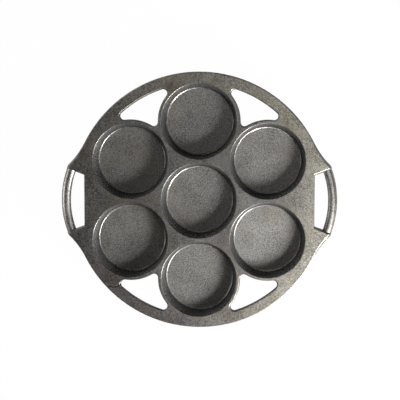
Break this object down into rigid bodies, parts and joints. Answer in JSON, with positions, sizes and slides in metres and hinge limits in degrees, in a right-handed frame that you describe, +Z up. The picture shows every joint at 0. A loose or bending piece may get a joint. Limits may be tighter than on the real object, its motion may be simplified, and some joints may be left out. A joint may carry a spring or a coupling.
{
  "type": "mini cake pan",
  "caption": "Round cast iron pan with a ring of shallow round cups about a middle one, openings between cups and rim, and a grip bar at each side.",
  "frame": {"origin": "centre of the middle cup's flat bottom, on the plane that the pan stands on", "axes": "+X towards the grip that the picture shows at the right, +Y away from the viewer, +Z up out of the cups"},
  "size_m": [0.3182, 0.296, 0.0295],
  "materials": {
    "seasoned_iron": "rough as cast, oiled and baked to a dark satin"
  },
  "bodies": {
    "root": {"cake_pan": "seasoned_iron"}
  },
  "joints": []
}
